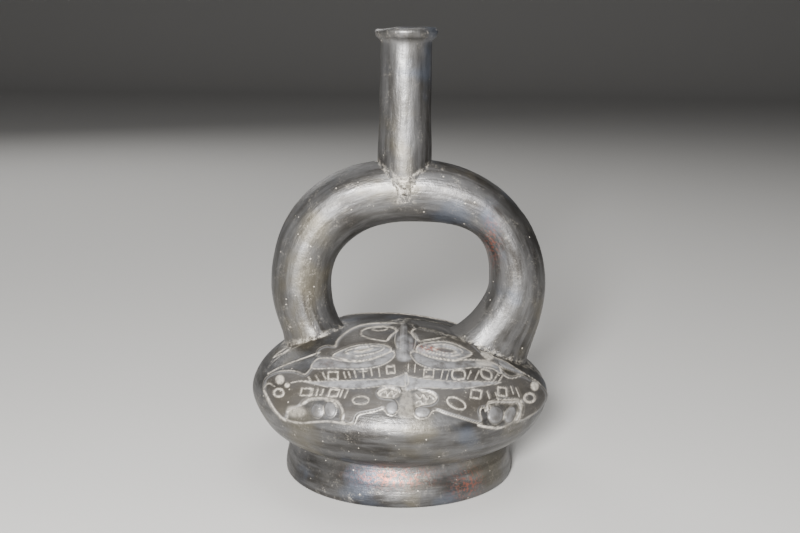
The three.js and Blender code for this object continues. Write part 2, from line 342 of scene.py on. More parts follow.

    # upper lip: a long smooth lens between the bands, with a point below the nose, and a painted highlight
    # of silvery sheen on it
    leftLip = [(-51, 0.4), (-47, 0.3), (-39, 0.9), (-28.5, 1.3), (-18.5, 1.8), (-8, 2.4), (-2, 4.2),
               (1.4, 5),
               (1.4, -1), (-8, -1.1), (-15.5, -1.8), (-21, -2.5), (-28.5, -2.9), (-36, -2.4), (-43, -1.6)]
    rightLip = [(0.6, 5), (2.6, 3.8), (9.5, 2.6), (17.5, 2), (27.5, 1.4), (38, 1.6), (50, 1.2),
                (40.5, -0.6),
                (33, -1.7), (22.5, -2.2), (12.5, -1.9), (6, -2.4), (1.6, -3.6), (0.6, -1)]
    for lip in (leftLip, rightLip):
        p.shape(lip, height=top - 0.25, edge=0.4, paintedSheen=0.9, dome=0.5)
        p.cut(lip, width=0.7, depth=0.55, closed=True, pale=0.75)
    p.cut([(-58.4, -0.2), (-54, 0.6), (-49, 0.2)], width=0.9)

    # lower band: squares and bars
    p.cut(boxLine(-50.4, -5, 2.9, 1.8, 0, 0.4), width=1.0, closed=True, sharp=True)
    p.cut([(-48.6, -6.6), (-48, -3.6)], width=0.9, sharp=True)
    p.cut(boxLine(-36.4, -5.4, 2.3, 1.8, 0, 0.7), width=1.1, closed=True, sharp=True)
    p.cut(boxLine(37.2, -5, 2.6, 2.1, -8), width=1.3, closed=True, sharp=True)
    p.cut(boxLine(50.8, -3.6, 2.2, 2.1, -6, -0.4), width=1.2, closed=True, sharp=True)
    for a, b, half, lean in [(-45, -5.1, 1.7, 0.5), (-42.2, -5.1, 1.7, 0.5), (-32.4, -5.6, 1.9, 0.8),
                             (-29.9, -5.8, 1.9, 0.8), (43.6, -5.3, 1.9, -0.7), (48, -5.9, 2, -0.8),
                             (56, -2.8, 2, -0.7), (58.8, -3.7, 2.2, -0.9)]:
        p.cut([(a - lean, b - half), (a + lean, b + half)], width=0.95, sharp=True)
    # ovals on the heads, rings and discs at the far ends
    p.cut(ovalLine(-22.4, -9, 4.2, 2.1, 2), width=1.0, depth=0.7, closed=True, pale=0.75)
    p.cut(ovalLine(27, -9.9, 5.1, 2.6, -24), width=1.2, depth=0.8, closed=True)
    p.cut(ovalLine(-64.8, -5.6, 2.5, 2), width=1.7, depth=1.1, closed=True)
    p.cut(ovalLine(65, -6.6, 2.7, 2.3), width=2.0, depth=1.1, closed=True)
    for a, b in [(-64.4, 1.2), (67.6, -0.4)]:
        p.shape(ovalLine(a, b, 2.2, 2.4), height=top + 0.35, edge=0.5, pale=0.75, dome=0.4)
        p.cut(ovalLine(a, b, 1.1, 1.1), width=0.8, depth=0.7, closed=True, pale=0.1)
    p.shape(ovalLine(-60.6, -1.6, 1.3, 1.2), height=top + 0.2, edge=0.4, pale=0.8, dome=0.3)
    p.cut([(-67, -2.4), (-69, -0.9), (-71, -1.2), (-72.4, -3)], width=1.1, pale=0.7)

    # open mouths: sunk and rough, with a row of teeth left standing
    leftMouth = [(-14, -5), (-12.4, -3.4), (-8, -2.1), (-4.4, -2.7), (-1.6, -5), (-3.6, -7.4), (-8, -7.9),
                 (-12.4, -7)]
    rightMouth = [(5, -4.6), (8.5, -4), (14, -4.2), (17.2, -6.8), (15, -10), (10, -11), (6, -12), (3.6, -8)]
    for mouth in (leftMouth, rightMouth):
        p.shape(mouth, height=-0.2, edge=0.4, pale=0.22)
    p.ridge([(-12.2, -5.4), (-9.6, -3.8), (-8.6, -6), (-6.2, -3.8), (-5.4, -6.2), (-3.4, -4.6)], width=1.0,
            height=0.8, pale=0.8)
    p.ridge([(6, -5.4), (8.6, -7.4), (9.8, -5.4), (12, -8), (13.4, -6), (15.6, -7.6)], width=1.0,
            height=0.8,
            pale=0.8)
    p.ridge([(6.4, -9.6), (8.6, -8.6), (9.6, -10), (12, -9)], width=0.9, height=0.7, pale=0.8)
    # noses of the heads: small balls with a painted highlight
    p.shape(ovalLine(-6.2, -12.6, 2.9, 3), dome=0.9, edge=0.5, paintedSheen=0.5)
    p.shape(ovalLine(9.6, -14.8, 3.9, 2.4, 8), dome=0.9, edge=0.5, paintedSheen=0.5)
    # throat between the heads: rough clay, never burnished
    p.shape([(-1.6, -2.4), (1.6, -4), (4.4, -6), (4.8, -12), (5, -17), (-2, -17), (-2.6, -11), (-1.4, -6)],
            height=0.05, edge=0.9, pale=0.3)

    # paws: an arched upper edge, and toes under it with a painted highlight
    leftPaw = [(-52.4, -11), (-49, -8.6), (-43, -8), (-37, -8.8), (-33.6, -11), (-31.8, -14.6), (-32, -19)]
    rightPaw = [(43.4, -13), (43.6, -10), (48, -8.8), (55.6, -8.8), (58.8, -8.4), (60.4, -11), (60.4, -14),
                (58.6, -18)]
    for paw in (leftPaw, rightPaw):
        p.ridge(paw, width=1.9, height=0.75, pale=0.45)
    for a, b, long, short, turn in [(-45, -14.6, 3, 3.6, 12), (-38.2, -13.8, 3, 4, 8),
                                    (47.6, -15.6, 3.8, 4.4, -10), (55.2, -15.4, 2.6, 4.4, -22)]:
        p.shape(ovalLine(a, b, long, short, turn), height=0.5, edge=0.4, dome=0.9, paintedSheen=0.35)
    p.shape([(-60, -13.2), (-56, -12.4), (-52, -13), (-51, -16.4), (-55, -18), (-59, -17)], pale=0.45,
            edge=1.3)
    p.cut([(42.2, -14), (41.6, -12.4), (40, -12.2), (39.4, -15), (40.4, -18.4)], width=0.9, depth=0.6)

    # edges of the field below: a thin line on the left, a broader rim on the right
    p.ridge([(-72.6, -4.4), (-70.4, -8.6), (-67.6, -13.6), (-64.2, -17.6), (-61.4, -19.8)], width=1.3,
            height=0.45, pale=0.85)
    p.ridge([(39, -21), (43, -21.9), (51, -22.3), (58.6, -20.2), (66, -16.2), (72, -12.4)], width=1.8,
            height=0.5, pale=0.75)
    p.ridge([(-61, -19.6), (-54, -21), (-46, -20.4), (-38, -20), (-31, -21.2), (-26, -20.8)], width=1.4,
            height=0.3, pale=0.55)

    # hollows beside the cheeks, the right one with a painted highlight, and the lines that edge them
    p.shape([(-44.6, 13.4), (-51, 12), (-58, 9.4), (-64.4, 6.6), (-59.5, 6.4), (-55.5, 5.8), (-52, 4.6),
             (-48.8, 7.4), (-47.8, 10.5)], height=0.25, edge=0.5)
    p.cut([(-44, 15.6), (-51.5, 12.8), (-59.5, 9.8), (-65, 7.4), (-70.5, 4.2)], width=1.1, depth=0.8)
    p.shape([(46, 14), (52, 12), (57, 9), (62.4, 5.8), (56, 7.2), (50, 9.8)], height=0.7, edge=0.4,
            paintedSheen=0.6)
    p.cut([(45.4, 14.6), (52, 12.2), (57, 9.2), (63, 5.6), (68, 2.6)], width=0.9, depth=0.7)
    p.cut([(49, 9), (51, 5.6), (55, 3.4), (60.4, 4.8)], width=0.8, depth=0.6)
    p.shape([(39.4, 16), (43, 16.2), (46, 13.6), (43, 12.8)], height=1.3, edge=0.4, pale=0.6)
    # leaves and long lines on the smooth side bands
    p.cut([(-68, 12.6), (-64.4, 15.6), (-57.4, 20.4), (-60.6, 16.4), (-68, 12.6)], width=0.85, depth=0.7)
    p.cut([(58, 14), (61.4, 12.6), (64.2, 10), (61.2, 11)], width=0.8, depth=0.6, closed=True)
    p.cut([(-39, 24.6), (-47.5, 22.4), (-55.5, 18.6), (-64.5, 13.4), (-70.5, 7.6)], width=0.9, depth=0.45,
          pale=0.4)
    p.cut([(44, 22), (52, 18.6), (60, 13), (67.5, 8.4), (71.6, 4)], width=0.9, depth=0.45, pale=0.4)
    p.cut([(67.4, 9), (71.4, 4.6), (76, -1.6)], width=0.8, depth=0.5, pale=0.7)
    return p


def drawBack():
    # the plainer back of the dome: a smooth field inside one line, two lobes, two long lines and two rings
    p = Panel()
    field = [(0, 20.5), (-14, 20), (-26, 17), (-36, 11), (-50, 3), (-62, -3), (-66, -10), (-58, -17),
             (-40, -14.5), (-20, -16), (0, -17), (20, -16), (40, -14.5), (58, -17), (66, -10), (62, -3),
             (50, 3), (36, 11), (26, 17), (14, 20)]
    p.shape(field, height=carving["plateau"] * 0.7, edge=0.6)
    p.cut(field, width=1.0, depth=0.6, closed=True, pale=0.7)
    for side in (-1, 1):
        p.cut(ovalLine(side * 17, 12, 9, 3.6, -12 * side), width=1.6, depth=0.8, closed=True, pale=0.7)
        p.cut(ovalLine(side * 17, 12, 4.5, 1.4, -12 * side), width=1.4, depth=0.7, closed=True, pale=0.6)
        p.cut([(side * 50, -1), (side * 30, 3), (0, 4.5)], width=1.6, depth=0.7, pale=0.7)
        p.cut([(side * 52, -7), (side * 30, -5), (0, -4)], width=1.6, depth=0.7, pale=0.7)
        p.cut(ovalLine(side * 57, -9, 3, 2.4), width=1.8, depth=0.8, closed=True, pale=0.7)
    return p


def cavity(panel):
    # how far each cell lies under its surroundings: dust gathers there, and edges above them wear
    return blur(panel.relief, 1.1) - panel.relief


maskPanel = drawMask()
backPanel = drawBack()
maskHollow = cavity(maskPanel)
backHollow = cavity(backPanel)
print("carving drawn")


def drawnPlace(points, side):
    # where a point of the dome falls in the drawing, seen from the reading point on that side
    px, py, pz = carving["eyePoint"]
    x = (points[:, 0] - px) * -side
    y = points[:, 1] * -side - py
    z = points[:, 2] - pz
    c, s = math.cos(carving["eyePitch"]), math.sin(carving["eyePitch"])
    depth = y * c - z * s
    up = y * s + z * c
    scale = carving["readingDistance"] / depth
    return x * scale - carving["noseAcross"], up * scale - carving["mouthUp"]


body = {
    "radius": (cadHigh.x - cadLow.x) / 2 / mm - 0.9,
    "equator": 45.1,
    "domeTop": 80.5,
    "domeFullness": 1.8,
    "leftFuller": 0.094,
    "lean": 0.046,
    "undersideFullness": 1.74,
    "neckRadius": 57.4,
    "neckHeight": 22.0,
    "footRadius": 61.2,
    "footTopRadius": 59.9,
    "footBand": 13.0,
    "footEdge": 2.2,
    "recessRadius": 46.0,
    "recessDepth": 3.0,
    "stepsAround": 592,
    "backShare": 0.30,
    "sideShare": 0.34,
    "rowStep": 0.44,
    "carvedFrom": 43.2,
}


def fullnessAt(angle):
    # the dome is a little fuller on its left than on its right
    return body["domeFullness"] - body["leftFuller"] * np.sin(angle)


def domeCurve(turn, fullness, radius, top):
    # power curve from the equator (turn 0) to the crown (turn a quarter): radius and height
    power = 2 / fullness
    r = radius * np.maximum(np.cos(turn), 0) ** power
    z = body["equator"] + (top - body["equator"]) * np.maximum(np.sin(turn), 0) ** power
    return r, z


def undersideCurve(turn, neck, radius, low):
    # power curve from the neck of the foot (turn 0) out to the equator (turn a quarter)
    power = 2 / body["undersideFullness"]
    r = neck + (radius - neck) * np.sin(turn) ** power
    return r, body["equator"] - (body["equator"] - low) * np.maximum(np.cos(turn), 0) ** power


def domeTurns():
    # turns of the dome's rings, set so that rings look evenly spaced from in front and above
    fine = np.linspace(0.004, math.pi / 2, 6001)
    r, z = domeCurve(fine, body["domeFullness"], body["radius"], body["domeTop"])
    slope = np.arctan2(np.gradient(z), -np.gradient(r))
    step = np.hypot(np.gradient(r), np.gradient(z))
    seen = np.cumsum(step * np.sin(np.clip(slope + carving["eyePitch"], 0.2, np.pi / 2)))
    count = int(seen[-1] / body["rowStep"])
    return np.interp(np.arange(1, count) * body["rowStep"], seen, fine)


def bodyRings():
    # rings from the middle of the underside to the crown: radius, height, turn on the dome (0 below
    # it), and how many times the steps around are halved there
    b = body
    rings = []
    for r in np.linspace(4, b["recessRadius"] - 2, 9):
        rings.append((r, b["recessDepth"] - 0.5 * (r / b["recessRadius"]) ** 2, 0, 3))
    for t in np.linspace(0, math.pi / 2, 5)[1:]:
        rings.append((b["recessRadius"] - 2 + 2.6 * math.sin(t), 2.5 * math.cos(t), 0, 3))
    rings.append((b["recessRadius"] + 5, 0.0, 0, 3))
    foot, edge = b["footRadius"], b["footEdge"]
    for t in np.linspace(0, math.pi / 2, 7):
        rings.append((foot - edge + edge * math.sin(t), edge * (1 - math.cos(t)), 0, 2))
    for t in np.linspace(0, 1, 8)[1:]:
        r = mix(foot, b["footTopRadius"], ease(0.1, 1, t)) + 0.2 * math.sin(t * math.pi)
        rings.append((float(r), mix(edge, b["footBand"], t), 0, 2))
    for t in np.linspace(0, 1, 10)[1:-1]:
        r = mix(b["footTopRadius"], b["neckRadius"], math.sin(t * math.pi / 2))
        rings.append((r, mix(b["footBand"], b["neckHeight"], t), 0, 2))
    for turn in np.linspace(0, math.pi / 2, 34)[1:-1]:
        r, z = undersideCurve(turn, b["neckRadius"], b["radius"], b["neckHeight"])
        halved = 2 if z < 38 else 1 if z < 42.4 else 0
        rings.append((float(r), float(z), 0, halved))
    rings.append((b["radius"], b["equator"], 0, 0))
    for turn in domeTurns():
        r = domeCurve(turn, b["domeFullness"], b["radius"], b["domeTop"])[0]
        halved = 0 if r > 45 else 1 if r > 22 else 2 if r > 9 else 3
        rings.append((float(r), 0, turn, halved))
    return rings


def anglesAround():
    # angles around from the back, 0 at the front; closest at the front, where the carving is finest
    fine = np.linspace(-np.pi, np.pi, 8001)
    share = np.where(np.cos(fine) > 0, np.maximum(np.cos(fine), body["sideShare"]), body["backShare"])
    total = np.concatenate([[0], np.cumsum((share[1:] + share[:-1]) / 2)])
    steps = body["stepsAround"]
    return np.interp(np.arange(steps) / steps * total[-1], total, fine)


def bodySurface():
    # rings of points joined by triangles; where the steps halve, three triangles join each pair
    b = body
    rings = bodyRings()
    around = anglesAround()
    points, normals, starts, counts = [], [], [], []
    flat = [(r, z) if not turn else domeCurve(turn, b["domeFullness"], b["radius"], b["domeTop"])
            for r, z, turn, _ in rings]
    slopes = np.gradient(np.array(flat, float), axis=0)
    total = 0
    for (r, z, turn, halved), (slopeR, slopeZ) in zip(rings, slopes):
        angle = around[:: 2**halved]
        if turn:
            r, z = domeCurve(turn, fullnessAt(angle), b["radius"], b["domeTop"])
        outward = np.array([slopeZ, -slopeR]) / math.hypot(slopeR, slopeZ)
        across, back = np.sin(angle), -np.cos(angle)
        points.append(np.stack([r * across, r * back, z + 0 * angle], 1))
        normals.append(np.stack([outward[0] * across, outward[0] * back, outward[1] + 0 * angle], 1))
        starts.append(total)
        counts.append(len(angle))
        total += len(angle)
    faces = []
    for n, m, a, b0 in zip(counts[:-1], counts[1:], starts[:-1], starts[1:]):
        k = np.arange(min(n, m))
        k1 = (k + 1) % min(n, m)
        if n == m:
            faces += [(a + k, a + k1, b0 + k1), (a + k, b0 + k1, b0 + k)]
        elif n > m:
            faces += [(a + 2 * k, a + 2 * k + 1, b0 + k), (a + 2 * k + 1, b0 + k1, b0 + k),
                      (a + 2 * k + 1, a + 2 * k1, b0 + k1)]
        else:
            faces += [(a + k, b0 + 2 * k + 1, b0 + 2 * k), (a + k, a + k1, b0 + 2 * k + 1),
                      (a + k1, b0 + 2 * k1, b0 + 2 * k + 1)]
    under, crown = total, total + 1
    k = np.arange(counts[0])
    faces.append((np.full(counts[0], under), (k + 1) % counts[0], k))
    k = np.arange(counts[-1])
    faces.append((starts[-1] + k, starts[-1] + (k + 1) % counts[-1], np.full(counts[-1], crown)))
    points.append([[0, 0, b["recessDepth"]], [0, 0, b["domeTop"]]])
    normals.append([[0, 0, -1], [0, 0, 1]])
    return np.vstack(points), np.vstack(normals), np.concatenate([np.stack(f, 1) for f in faces])


def dent(points, centre, size, depth):
    # a soft hollow of a depth about a place, with its size each way
    return depth * np.exp(-(((points - centre) / size) ** 2).sum(1))


def shapeBody(points, normals):
    # moves the plain turned body to its hand-made shape: a sag to the right, dents, and the carving
    rise = ease(body["equator"], body["domeTop"], points[:, 2])
    plain = points
    points = points.copy()
    points[:, 2] -= body["lean"] * points[:, 0] * rise
    away = ease(0, 8, points[:, 2])
    dents = 0.3 * clayNoise(points, 34, 3) + 0.13 * clayNoise(points, 11, 5)
    dents += 0.05 * clayNoise(points, 3.5, 7)
    dents -= dent(points, (-74, -8, 35), (16, 30, 8), 1.8)
    carved = ease(body["carvedFrom"], body["carvedFrom"] + 1.5, points[:, 2])
    a, b = drawnPlace(points, -1)
    lift = maskPanel.sample(maskPanel.relief, a, b) * (1 - ease(3, 9, points[:, 1]))
    a, b = drawnPlace(points, 1)
    lift += backPanel.sample(backPanel.relief, a, b) * ease(8, 14, points[:, 1])
    moved = points + normals * (dents * away * 0.6 + lift * carved)[:, None]
    # nothing reaches past the widest level
    r = np.hypot(moved[:, 0], moved[:, 1])
    limit = np.minimum(1, (body["radius"] + 0.88) / np.maximum(r, 1))
    moved[:, :2] *= limit[:, None]
    moved[:, 2] = np.where(plain[:, 2] < 0.01, 0, moved[:, 2])
    return moved


stirrup = {
    "outer": {"middle": 3.8, "halfSpan": 72.8, "widest": 100.0, "top": 168.0,
              "left": (2.24, 8.6), "right": (2.06, 6.0)},
    "inner": {"middle": 4.7, "halfSpan": 41.8, "widest": 103.0, "top": 134.7,
              "left": (2.1, 6.5), "right": (3.2, 22.0)},
    "legDrop": 30.0,
    "legPower": 1.7,
    "legEnd": 56.0,
    "legShare": 0.2,
    "halfDepth": 15.0,
    "wall": 4.5,
    "alongSteps": 190,
    "aroundSteps": 68,
    "collar": 2.0,
    "collarReach": 4.0,
    "slimmerTop": 0.7,
}


def contour(which, share):
    # a rounded arch (power curve) over its widest level, and legs that lean in below it
    c = stirrup[which]
    right = share < 0.5
    fromFoot = np.where(right, share, 1 - share)
    side = np.where(right, 1.0, -1.0)
    fullness = np.where(right, c["right"][0], c["left"][0])
    lean = np.where(right, c["right"][1], c["left"][1])
    leg = fromFoot < stirrup["legShare"]
    z = mix(stirrup["legEnd"], c["widest"], np.minimum(fromFoot / stirrup["legShare"], 1))
    drawnIn = lean * ((c["widest"] - z) / stirrup["legDrop"]) ** stirrup["legPower"]
    angle = np.clip((fromFoot - stirrup["legShare"]) / (0.5 - stirrup["legShare"]), 0, 1) * math.pi / 2
    power = 2 / fullness
    archX = c["middle"] + side * c["halfSpan"] * np.maximum(np.cos(angle), 0) ** power
    archZ = c["widest"] + (c["top"] - c["widest"]) * np.sin(angle) ** power
    x = np.where(leg, c["middle"] + side * (c["halfSpan"] - drawnIn), archX)
    return np.stack([x, np.where(leg, z, archZ)], 1)


def evenShares(steps):
    # shares of the arch that are evenly spaced along its middle line
    share = np.linspace(0, 1, 2001)
    middle = (contour("outer", share) + contour("inner", share)) / 2
    along = np.concatenate([[0], np.cumsum(np.linalg.norm(np.diff(middle, axis=0), axis=1))])
    return np.interp(np.linspace(0, along[-1], steps), along, share)


def domeHeight(x, y):
    # height of the plain dome over a place
    n = fullnessAt(np.arctan2(x, -y))
    share = np.clip(np.hypot(x, y) / body["radius"], 0, 1)
    height = (1 - share**n) ** (1 / n)
    rise = body["domeTop"] - body["equator"]
    return body["equator"] + rise * height - body["lean"] * x * ease(0, 1, height)


def stirrupGrid(alongSteps, aroundSteps, inset):
    # an oval carried along the arch: its long half reaches from the middle line to the contours
    share = evenShares(alongSteps)
    outer, inner = contour("outer", share), contour("inner", share)
    middle, half = (outer + inner) / 2, (outer - inner) / 2
    length = np.linalg.norm(half, axis=1, keepdims=True)
    half = half * (length - inset) / length
    angle = np.linspace(0, 2 * np.pi, aroundSteps, endpoint=False)
    c, s = np.cos(angle)[None, :], np.sin(angle)[None, :]
    x = middle[:, :1] + half[:, :1] * c
    z = middle[:, 1:] + half[:, 1:] * c
    depth = stirrup["halfDepth"] - inset - stirrup["slimmerTop"] * np.exp(-((middle[:, :1] / 26) ** 2))
    y = depth * s
    return np.stack([x, y, z], 2)


def stirrupSurface():
    grid = stirrupGrid(stirrup["alongSteps"], stirrup["aroundSteps"], 0)
    shape = grid.shape
    normals = gridNormals(grid).reshape(-1, 3)
    flat = grid.reshape(-1, 3)
    if ((flat - flat.mean(0)) * normals).sum() < 0:
        normals = -normals
    dents = 0.45 * clayNoise(flat, 30, 11) + 0.12 * clayNoise(flat, 9, 13) + 0.04 * clayNoise(flat, 3, 17)
    # clay smoothed on where the legs meet the body
    gap = flat[:, 2] - domeHeight(flat[:, 0], flat[:, 1])
    collar = stirrup["collar"] * np.exp(-np.maximum(gap, 0) / stirrup["collarReach"])
    collar *= 1 + 0.5 * clayNoise(flat, 7, 19)
    # a chip off the outer edge of the right shoulder
    chip = np.exp(-(((flat - [62.5, -2, 142.5]) / [1.6, 2.6, 2.0]) ** 2).sum(1)) * 0.9
    moved = flat + normals * (dents + collar - chip)[:, None]
    return closeTube(moved.reshape(shape))


def closeTube(grid):
    # joins a grid of rings into a closed tube, with a point in the middle of each end
    rings, around = grid.shape[:2]
    points = np.vstack([grid.reshape(-1, 3), grid[0].mean(0), grid[-1].mean(0)])
    k = np.arange(around)
    k1 = (k + 1) % around
    i = (np.arange(rings - 1) * around)[:, None]
    a, b, c, d = (i + k).ravel(), (i + k1).ravel(), (i + around + k1).ravel(), (i + around + k).ravel()
    first, last = rings * around, rings * around + 1
    top = (rings - 1) * around
    faces = [np.stack([a, b, c], 1), np.stack([a, c, d], 1),
             np.stack([np.full(around, first), k1, k], 1),
             np.stack([np.full(around, last), top + k, top + k1], 1)]
    return points, np.concatenate(faces)


spout = {
    "middle": 1.1,
    "radius": 13.3,
    "flare": 0.8,
    "flareHeight": 25.0,
    "lipRadius": 16.1,
    "lipHeight": 8.5,
    "wall": 4.0,
    "bottom": 151.0,
    "top": cadHigh.z / mm,
    "aroundSteps": 72,
    "rowStep": 1.2,
}


def turnedGrid(profile, aroundSteps):
    # a profile of radius and height turned about the upright axis
    r, z = np.array(profile, float).T
    angle = np.linspace(0, 2 * np.pi, aroundSteps, endpoint=False)
    x = r[:, None] * np.sin(angle)[None, :]
    y = -r[:, None] * np.cos(angle)[None, :]
    return np.stack([x, y, np.broadcast_to(z[:, None], x.shape)], 2)


def spoutSurface():
    s = spout
    archTop = stirrup["outer"]["top"]
    lipBottom = s["top"] - s["lipHeight"]
    profile = []
    for z in np.arange(s["bottom"], lipBottom, s["rowStep"]):
        flare = s["flare"] * (1 - ease(archTop, archTop + s["flareHeight"], z))
        profile.append((s["radius"] + flare - 0.2 * ease(205, lipBottom, z), z))
    # rolled lip: hollow under it, a full round edge, and a nearly flat worn top
    neck = s["radius"] - 0.2
    for t in np.linspace(0, 1, 7)[1:]:
        profile.append((mix(neck, s["lipRadius"] - 0.5, t**2.2), mix(lipBottom, lipBottom + 3.4, t)))
    for angle in np.linspace(-0.5, math.pi / 2, 10):
        r = s["lipRadius"] - 2.2 + 2.2 * math.cos(angle)
        profile.append((r, s["top"] - 2.6 + 2.4 * math.sin(angle)))
    profile.append((s["lipRadius"] - 4.0, s["top"] - 0.1))
    grid = turnedGrid(profile, s["aroundSteps"])
    flat = grid.reshape(-1, 3)
    up = ease(lipBottom - 2, s["top"] - 3, flat[:, 2])
    dents = 0.16 * clayNoise(flat, 20, 23) + 0.1 * clayNoise(flat, 7, 29)
    dents += (0.12 * up) * clayNoise(flat, 4, 31)
    outward = flat[:, :2] / np.maximum(np.linalg.norm(flat[:, :2], axis=1, keepdims=True), 1e-9)
    flat[:, :2] += outward * dents[:, None]
    angle = np.arctan2(flat[:, 0], -flat[:, 1])
    worn = 0.9 * ease(0.2, 1, np.sin(-angle)) + 0.35 * clayNoise(flat, 5, 37) + 0.15
    flat[:, 2] -= np.clip(worn, 0, 2) * up * ease(s["top"] - 5, s["top"], flat[:, 2])
    flat[:, 0] += s["middle"]
    return closeTube(flat.reshape(grid.shape))


def chamberSurface():
    # the body's outline moved in by the wall, over a flat floor
    wall, floor = 6.0, 10.0
    neck, wide = body["neckRadius"] - wall, body["radius"] - wall
    profile = [(6, floor), (24, floor), (neck - 4, floor), (neck - 1, floor + 1.4), (neck, floor + 4)]
    for turn in np.linspace(0, math.pi / 2, 9)[:-1]:
        profile.append(undersideCurve(turn, neck, wide, body["neckHeight"] + 2))
    for turn in np.linspace(0, math.pi / 2, 13)[:-1]:
        profile.append(domeCurve(turn, body["domeFullness"], wide, body["domeTop"] - wall))
    points, faces = closeTube(turnedGrid(profile, 64))
    rise = ease(body["equator"], body["domeTop"] - wall, points[:, 2])
    points[:, 2] -= body["lean"] * points[:, 0] * rise
    return points, faces


def spoutBoreSurface():
    bore, top = spout["radius"] - spout["wall"], spout["top"]
    profile = [(bore, spout["bottom"])]
    profile += [(bore, z) for z in np.linspace(165, top - 6, 8)]
    for t in np.linspace(0, 1, 7)[1:]:
        profile.append((bore + 2.4 * t**2.4, top - 6 + 6 * t))
    profile.append((bore + 2.6, top + 3))
    grid = turnedGrid(profile, 40)
    grid[:, :, 0] += spout["middle"]
    return closeTube(grid)


def makeObject(name, points, faces):
    mesh = bpy.data.meshes.new(name)
    mesh.vertices.add(len(points))
    mesh.vertices.foreach_set("co", (np.asarray(points) * mm).astype(np.float32).ravel())
    mesh.loops.add(faces.size)
    mesh.loops.foreach_set("vertex_index", faces.astype(np.int32).ravel())
    mesh.polygons.add(len(faces))
    mesh.polygons.foreach_set("loop_start", np.arange(0, faces.size, 3, dtype=np.int32))
    mesh.update(calc_edges=True)
    mesh.validate()
    obj = bpy.data.objects.new(name, mesh)
    bpy.context.scene.collection.objects.link(obj)
    return obj


def volume(points, faces):
    a, b, c = (points[faces[:, i]] for i in range(3))
    return (a * np.cross(b, c)).sum() / 6


def outwards(points, faces):
    # turns every face round if the closed surface is inside out
    return (points, faces) if volume(points, faces) > 0 else (points, faces[:, ::-1])


def joinClay():
    # outer body, arch and spout as one, with chamber and bores taken out
    plain, normals, faces = bodySurface()
    vessel = makeObject("vessel_clay", *outwards(shapeBody(plain, normals), faces))
    boreGrid = stirrupGrid(100, 24, stirrup["wall"])
    tools = [("UNION", "arch", stirrupSurface()), ("UNION", "spout", spoutSurface()),
             ("DIFFERENCE", "chamber", chamberSurface()), ("DIFFERENCE", "archBore", closeTube(boreGrid)),
             ("DIFFERENCE", "spoutBore", spoutBoreSurface())]
    helpers = []
    for operation, name, (points, toolFaces) in tools:
        helper = makeObject(name, *outwards(points, toolFaces))
        helpers.append(helper)
        cut = vessel.modifiers.new(name, "BOOLEAN")
        cut.operation = operation
        cut.object = helper
        cut.solver = "MANIFOLD"
    graph = bpy.context.evaluated_depsgraph_get()
    joined = bpy.data.meshes.new_from_object(vessel.evaluated_get(graph))
    vessel.modifiers.clear()
    old = vessel.data
    vessel.data = joined
    joined.name = "vessel_clay"
    bpy.data.meshes.remove(old)
    for helper in helpers:
        data = helper.data
        bpy.data.objects.remove(helper)
        bpy.data.meshes.remove(data)
    joined.shade_smooth()
    return vessel


vessel = joinClay()
print("clay joined:", len(vessel.data.polygons), "faces")


def meshPoints(obj):
    co = np.empty(len(obj.data.vertices) * 3, np.float32)
    obj.data.vertices.foreach_get("co", co)
    return co.reshape(-1, 3).astype(float) / mm


def setMask(obj, name, values):
    layer = obj.data.attributes.new(name, "FLOAT", "POINT")
    layer.data.foreach_set("value", np.clip(values, 0, 1).astype(np.float32))


def archPlace(points):
    # place of each point along the arch's middle line, out from it in its plane, and outside its skin
    share = evenShares(260)
    outer, inner = contour("outer", share), contour("inner", share)
    middle, half = (outer + inner) / 2, (outer - inner) / 2
    thick = np.linalg.norm(half, axis=1)
    along = np.concatenate([[0], np.cumsum(np.linalg.norm(np.diff(middle, axis=0), axis=1))])
    flat = points[:, [0, 2]]
    nearest = np.zeros(len(points), int)
    best = np.full(len(points), 1e9)
    for i, place in enumerate(middle):
        d = ((flat - place) ** 2).sum(1)
        closer = d < best
        nearest[closer] = i
        best[closer] = d[closer]
    out = ((flat - middle[nearest]) * half[nearest]).sum(1) / thick[nearest]
    ratio = np.hypot(out / thick[nearest], points[:, 1] / stirrup["halfDepth"])
    return along[nearest], out, (ratio - 1) * 15.5


def bodyGap(points):
    # rough distance outside the plain body, in mm
    x, y, z = points.T
    r = np.hypot(x, y)
    n = fullnessAt(np.arctan2(x, -y))
    rise = body["domeTop"] - body["equator"]
    level = z + body["lean"] * x * ease(body["equator"], body["domeTop"], z)
    up = np.maximum(level - body["equator"], 0) / rise
    dome = (((r / body["radius"]) ** n + up**n) ** (1 / n) - 1) * np.where(r > 60, 75, 45)
    turn = np.linspace(0, math.pi / 2, 60)
    lowR, lowZ = undersideCurve(turn, body["neckRadius"], body["radius"], body["neckHeight"])
    return np.where(z > body["equator"], dome, r - np.interp(z, lowZ, lowR))


# Soft patches: place, size each way, and how strong, in mm
wear = {
    "scuffs": [((-46, -10, 112), (6, 9, 26), 0.8), ((-52, -12, 82), (9, 8, 6), 0.7),
               ((24, -13, 160), (7, 5, 5), 0.7), ((-20, -14, 158), (16, 6, 5), 0.35),
               ((50, -14, 118), (8, 6, 26), 0.3), ((-66, -34, 44), (12, 12, 5), 0.6),
               ((-14, -13, 232), (6, 9, 5), 0.9), ((8, -15, 233), (8, 5, 3), 0.6),
               ((0, -62, 8), (60, 12, 4), 0.3), ((-30, -52, 4), (22, 9, 4), 0.5),
               ((60, -48, 44), (16, 14, 4), 0.5), ((-10, -58, 24), (40, 10, 4), 0.35)],
    "red": [((46, -10, 126), (4, 8, 12), 0.5), ((-27, -43, 67), (9, 3, 3), 0.9),
            ((16, -34, 76), (7, 3, 3), 0.9), ((-4, -60, 16), (18, 8, 4), 0.7),
            ((34, -48, 9), (8, 8, 6), 0.6)],
}


def patches(points, kind):
    total = np.zeros(len(points))
    for centre, size, strength in wear[kind]:
        total = np.maximum(total, dent(points, centre, size, strength))
    return total


